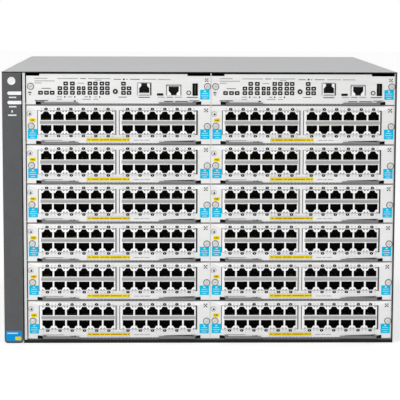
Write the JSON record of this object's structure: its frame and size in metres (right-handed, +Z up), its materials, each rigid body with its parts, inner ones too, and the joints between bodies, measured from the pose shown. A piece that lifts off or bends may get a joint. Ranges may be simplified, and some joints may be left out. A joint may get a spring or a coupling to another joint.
{
  "type": "modular chassis switch",
  "caption": "Rack-height network chassis with plug-in port modules, ejector levers, management modules, rear power supplies and a fan tray.",
  "frame": {"origin": "middle of the underside of the base, at the middle of the overall box", "axes": "+Z up, -Y towards the module faces, +X to the right seen from the front"},
  "size_m": [0.4444, 0.4508, 0.3099],
  "materials": {
    "chassis_tub": "grey powder coat",
    "top_cover": "light grey powder coat",
    "cage": "bright plated steel, satin",
    "midplane": "green solder mask",
    "rear_panel": "grey powder coat",
    "status_bezel": "fine moulded texture",
    "light_pipes": "clear frosted",
    "module": "bright plated steel, satin",
    "lever": "plated steel",
    "mode_button": "moulded",
    "fan_tray": "plated steel, satin",
    "fan_rotor": "black moulded",
    "power_supply": "plated, satin"
  },
  "bodies": {
    "chassis": {"chassis_tub": "chassis_tub", "top_cover": "top_cover", "card_cage": "cage", "cage_divider": "cage", "midplane": "midplane", "rear_panel": "rear_panel", "bay_shelf": "cage", "status_bezel": "status_bezel", "light_pipes": "light_pipes"},
    "line_module_a": {"line_module_a": "module"},
    "lever_a_left": {"lever_a_left": "lever"},
    "lever_a_right": {"lever_a_right": "lever"},
    "line_module_b": {"line_module_b": "module"},
    "lever_b_left": {"lever_b_left": "lever"},
    "lever_b_right": {"lever_b_right": "lever"},
    "line_module_c": {"line_module_c": "module"},
    "lever_c_left": {"lever_c_left": "lever"},
    "lever_c_right": {"lever_c_right": "lever"},
    "line_module_d": {"line_module_d": "module"},
    "lever_d_left": {"lever_d_left": "lever"},
    "lever_d_right": {"lever_d_right": "lever"},
    "line_module_e": {"line_module_e": "module"},
    "lever_e_left": {"lever_e_left": "lever"},
    "lever_e_right": {"lever_e_right": "lever"},
    "line_module_f": {"line_module_f": "module"},
    "lever_f_left": {"lever_f_left": "lever"},
    "lever_f_right": {"lever_f_right": "lever"},
    "line_module_g": {"line_module_g": "module"},
    "lever_g_left": {"lever_g_left": "lever"},
    "lever_g_right": {"lever_g_right": "lever"},
    "line_module_h": {"line_module_h": "module"},
    "lever_h_left": {"lever_h_left": "lever"},
    "lever_h_right": {"lever_h_right": "lever"},
    "line_module_i": {"line_module_i": "module"},
    "lever_i_left": {"lever_i_left": "lever"},
    "lever_i_right": {"lever_i_right": "lever"},
    "line_module_j": {"line_module_j": "module"},
    "lever_j_left": {"lever_j_left": "lever"},
    "lever_j_right": {"lever_j_right": "lever"},
    "line_module_k": {"line_module_k": "module"},
    "lever_k_left": {"lever_k_left": "lever"},
    "lever_k_right": {"lever_k_right": "lever"},
    "line_module_l": {"line_module_l": "module"},
    "lever_l_left": {"lever_l_left": "lever"},
    "lever_l_right": {"lever_l_right": "lever"},
    "management_module_1": {"management_module_1": "module"},
    "mode_button_1": {"mode_button_1": "mode_button"},
    "lever_m1_left": {"lever_m1_left": "lever"},
    "lever_m1_right": {"lever_m1_right": "lever"},
    "management_module_2": {"management_module_2": "module"},
    "mode_button_2": {"mode_button_2": "mode_button"},
    "lever_m2_left": {"lever_m2_left": "lever"},
    "lever_m2_right": {"lever_m2_right": "lever"},
    "fan_tray": {"fan_tray": "fan_tray"},
    "fan_rotor_1": {"fan_rotor_1": "fan_rotor"},
    "fan_rotor_2": {"fan_rotor_2": "fan_rotor"},
    "power_supply_1": {"power_supply_1": "power_supply"},
    "power_supply_2": {"power_supply_2": "power_supply"},
    "power_supply_3": {"power_supply_3": "power_supply"},
    "power_supply_4": {"power_supply_4": "power_supply"}
  },
  "joints": [
    {"name": "line_module_a_slide", "type": "slide", "parent": "chassis", "child": "line_module_a", "axis": [0, -1, 0], "range_m": [0, 0.27]},
    {"name": "lever_a_left_pivot", "type": "hinge", "parent": "line_module_a", "child": "lever_a_left", "pos_m": [-0.1781, -0.2239, 0.22965], "axis": [0, 0, -1], "range_deg": [0, 80]},
    {"name": "lever_a_right_pivot", "type": "hinge", "parent": "line_module_a", "child": "lever_a_right", "pos_m": [-0.005, -0.2239, 0.22965], "axis": [0, 0, 1], "range_deg": [0, 80]},
    {"name": "line_module_b_slide", "type": "slide", "parent": "chassis", "child": "line_module_b", "axis": [0, -1, 0], "range_m": [0, 0.27]},
    {"name": "lever_b_left_pivot", "type": "hinge", "parent": "line_module_b", "child": "lever_b_left", "pos_m": [0.03, -0.2239, 0.22965], "axis": [0, 0, -1], "range_deg": [0, 80]},
    {"name": "lever_b_right_pivot", "type": "hinge", "parent": "line_module_b", "child": "lever_b_right", "pos_m": [0.2031, -0.2239, 0.22965], "axis": [0, 0, 1], "range_deg": [0, 80]},
    {"name": "line_module_c_slide", "type": "slide", "parent": "chassis", "child": "line_module_c", "axis": [0, -1, 0], "range_m": [0, 0.27]},
    {"name": "lever_c_left_pivot", "type": "hinge", "parent": "line_module_c", "child": "lever_c_left", "pos_m": [-0.1781, -0.2239, 0.18495], "axis": [0, 0, -1], "range_deg": [0, 80]},
    {"name": "lever_c_right_pivot", "type": "hinge", "parent": "line_module_c", "child": "lever_c_right", "pos_m": [-0.005, -0.2239, 0.18495], "axis": [0, 0, 1], "range_deg": [0, 80]},
    {"name": "line_module_d_slide", "type": "slide", "parent": "chassis", "child": "line_module_d", "axis": [0, -1, 0], "range_m": [0, 0.27]},
    {"name": "lever_d_left_pivot", "type": "hinge", "parent": "line_module_d", "child": "lever_d_left", "pos_m": [0.03, -0.2239, 0.18495], "axis": [0, 0, -1], "range_deg": [0, 80]},
    {"name": "lever_d_right_pivot", "type": "hinge", "parent": "line_module_d", "child": "lever_d_right", "pos_m": [0.2031, -0.2239, 0.18495], "axis": [0, 0, 1], "range_deg": [0, 80]},
    {"name": "line_module_e_slide", "type": "slide", "parent": "chassis", "child": "line_module_e", "axis": [0, -1, 0], "range_m": [0, 0.27]},
    {"name": "lever_e_left_pivot", "type": "hinge", "parent": "line_module_e", "child": "lever_e_left", "pos_m": [-0.1781, -0.2239, 0.14025], "axis": [0, 0, -1], "range_deg": [0, 80]},
    {"name": "lever_e_right_pivot", "type": "hinge", "parent": "line_module_e", "child": "lever_e_right", "pos_m": [-0.005, -0.2239, 0.14025], "axis": [0, 0, 1], "range_deg": [0, 80]},
    {"name": "line_module_f_slide", "type": "slide", "parent": "chassis", "child": "line_module_f", "axis": [0, -1, 0], "range_m": [0, 0.27]},
    {"name": "lever_f_left_pivot", "type": "hinge", "parent": "line_module_f", "child": "lever_f_left", "pos_m": [0.03, -0.2239, 0.14025], "axis": [0, 0, -1], "range_deg": [0, 80]},
    {"name": "lever_f_right_pivot", "type": "hinge", "parent": "line_module_f", "child": "lever_f_right", "pos_m": [0.2031, -0.2239, 0.14025], "axis": [0, 0, 1], "range_deg": [0, 80]},
    {"name": "line_module_g_slide", "type": "slide", "parent": "chassis", "child": "line_module_g", "axis": [0, -1, 0], "range_m": [0, 0.27]},
    {"name": "lever_g_left_pivot", "type": "hinge", "parent": "line_module_g", "child": "lever_g_left", "pos_m": [-0.1781, -0.2239, 0.09555], "axis": [0, 0, -1], "range_deg": [0, 80]},
    {"name": "lever_g_right_pivot", "type": "hinge", "parent": "line_module_g", "child": "lever_g_right", "pos_m": [-0.005, -0.2239, 0.09555], "axis": [0, 0, 1], "range_deg": [0, 80]},
    {"name": "line_module_h_slide", "type": "slide", "parent": "chassis", "child": "line_module_h", "axis": [0, -1, 0], "range_m": [0, 0.27]},
    {"name": "lever_h_left_pivot", "type": "hinge", "parent": "line_module_h", "child": "lever_h_left", "pos_m": [0.03, -0.2239, 0.09555], "axis": [0, 0, -1], "range_deg": [0, 80]},
    {"name": "lever_h_right_pivot", "type": "hinge", "parent": "line_module_h", "child": "lever_h_right", "pos_m": [0.2031, -0.2239, 0.09555], "axis": [0, 0, 1], "range_deg": [0, 80]},
    {"name": "line_module_i_slide", "type": "slide", "parent": "chassis", "child": "line_module_i", "axis": [0, -1, 0], "range_m": [0, 0.27]},
    {"name": "lever_i_left_pivot", "type": "hinge", "parent": "line_module_i", "child": "lever_i_left", "pos_m": [-0.1781, -0.2239, 0.05085], "axis": [0, 0, -1], "range_deg": [0, 80]},
    {"name": "lever_i_right_pivot", "type": "hinge", "parent": "line_module_i", "child": "lever_i_right", "pos_m": [-0.005, -0.2239, 0.05085], "axis": [0, 0, 1], "range_deg": [0, 80]},
    {"name": "line_module_j_slide", "type": "slide", "parent": "chassis", "child": "line_module_j", "axis": [0, -1, 0], "range_m": [0, 0.27]},
    {"name": "lever_j_left_pivot", "type": "hinge", "parent": "line_module_j", "child": "lever_j_left", "pos_m": [0.03, -0.2239, 0.05085], "axis": [0, 0, -1], "range_deg": [0, 80]},
    {"name": "lever_j_right_pivot", "type": "hinge", "parent": "line_module_j", "child": "lever_j_right", "pos_m": [0.2031, -0.2239, 0.05085], "axis": [0, 0, 1], "range_deg": [0, 80]},
    {"name": "line_module_k_slide", "type": "slide", "parent": "chassis", "child": "line_module_k", "axis": [0, -1, 0], "range_m": [0, 0.27]},
    {"name": "lever_k_left_pivot", "type": "hinge", "parent": "line_module_k", "child": "lever_k_left", "pos_m": [-0.1781, -0.2239, 0.00615], "axis": [0, 0, -1], "range_deg": [0, 80]},
    {"name": "lever_k_right_pivot", "type": "hinge", "parent": "line_module_k", "child": "lever_k_right", "pos_m": [-0.005, -0.2239, 0.00615], "axis": [0, 0, 1], "range_deg": [0, 80]},
    {"name": "line_module_l_slide", "type": "slide", "parent": "chassis", "child": "line_module_l", "axis": [0, -1, 0], "range_m": [0, 0.27]},
    {"name": "lever_l_left_pivot", "type": "hinge", "parent": "line_module_l", "child": "lever_l_left", "pos_m": [0.03, -0.2239, 0.00615], "axis": [0, 0, -1], "range_deg": [0, 80]},
    {"name": "lever_l_right_pivot", "type": "hinge", "parent": "line_module_l", "child": "lever_l_right", "pos_m": [0.2031, -0.2239, 0.00615], "axis": [0, 0, 1], "range_deg": [0, 80]},
    {"name": "management_module_1_slide", "type": "slide", "parent": "chassis", "child": "management_module_1", "axis": [0, -1, 0], "range_m": [0, 0.27]},
    {"name": "mode_button_1_press", "type": "slide", "parent": "management_module_1", "child": "mode_button_1", "axis": [0, 1, 0], "range_m": [0, 0.001], "stiffness_N_per_m": 200},
    {"name": "lever_m1_left_pivot", "type": "hinge", "parent": "management_module_1", "child": "lever_m1_left", "pos_m": [-0.1781, -0.2239, 0.27435], "axis": [0, 0, -1], "range_deg": [0, 80]},
    {"name": "lever_m1_right_pivot", "type": "hinge", "parent": "management_module_1", "child": "lever_m1_right", "pos_m": [-0.005, -0.2239, 0.27435], "axis": [0, 0, 1], "range_deg": [0, 80]},
    {"name": "management_module_2_slide", "type": "slide", "parent": "chassis", "child": "management_module_2", "axis": [0, -1, 0], "range_m": [0, 0.27]},
    {"name": "mode_button_2_press", "type": "slide", "parent": "management_module_2", "child": "mode_button_2", "axis": [0, 1, 0], "range_m": [0, 0.001], "stiffness_N_per_m": 200},
    {"name": "lever_m2_left_pivot", "type": "hinge", "parent": "management_module_2", "child": "lever_m2_left", "pos_m": [0.03, -0.2239, 0.27435], "axis": [0, 0, -1], "range_deg": [0, 80]},
    {"name": "lever_m2_right_pivot", "type": "hinge", "parent": "management_module_2", "child": "lever_m2_right", "pos_m": [0.2031, -0.2239, 0.27435], "axis": [0, 0, 1], "range_deg": [0, 80]},
    {"name": "fan_tray_slide", "type": "slide", "parent": "chassis", "child": "fan_tray", "axis": [0, 1, 0], "range_m": [0, 0.15]},
    {"name": "fan_rotor_1_spin", "type": "hinge", "parent": "fan_tray", "child": "fan_rotor_1", "pos_m": [-0.10902, 0.19425, 0.1709], "axis": [0, 1, 0], "continuous": true},
    {"name": "fan_rotor_2_spin", "type": "hinge", "parent": "fan_tray", "child": "fan_rotor_2", "pos_m": [0.10902, 0.19425, 0.1709], "axis": [0, 1, 0], "continuous": true},
    {"name": "power_supply_1_slide", "type": "slide", "parent": "chassis", "child": "power_supply_1", "axis": [0, 1, 0], "range_m": [0, 0.15]},
    {"name": "power_supply_2_slide", "type": "slide", "parent": "chassis", "child": "power_supply_2", "axis": [0, 1, 0], "range_m": [0, 0.15]},
    {"name": "power_supply_3_slide", "type": "slide", "parent": "chassis", "child": "power_supply_3", "axis": [0, 1, 0], "range_m": [0, 0.15]},
    {"name": "power_supply_4_slide", "type": "slide", "parent": "chassis", "child": "power_supply_4", "axis": [0, 1, 0], "range_m": [0, 0.15]}
  ]
}
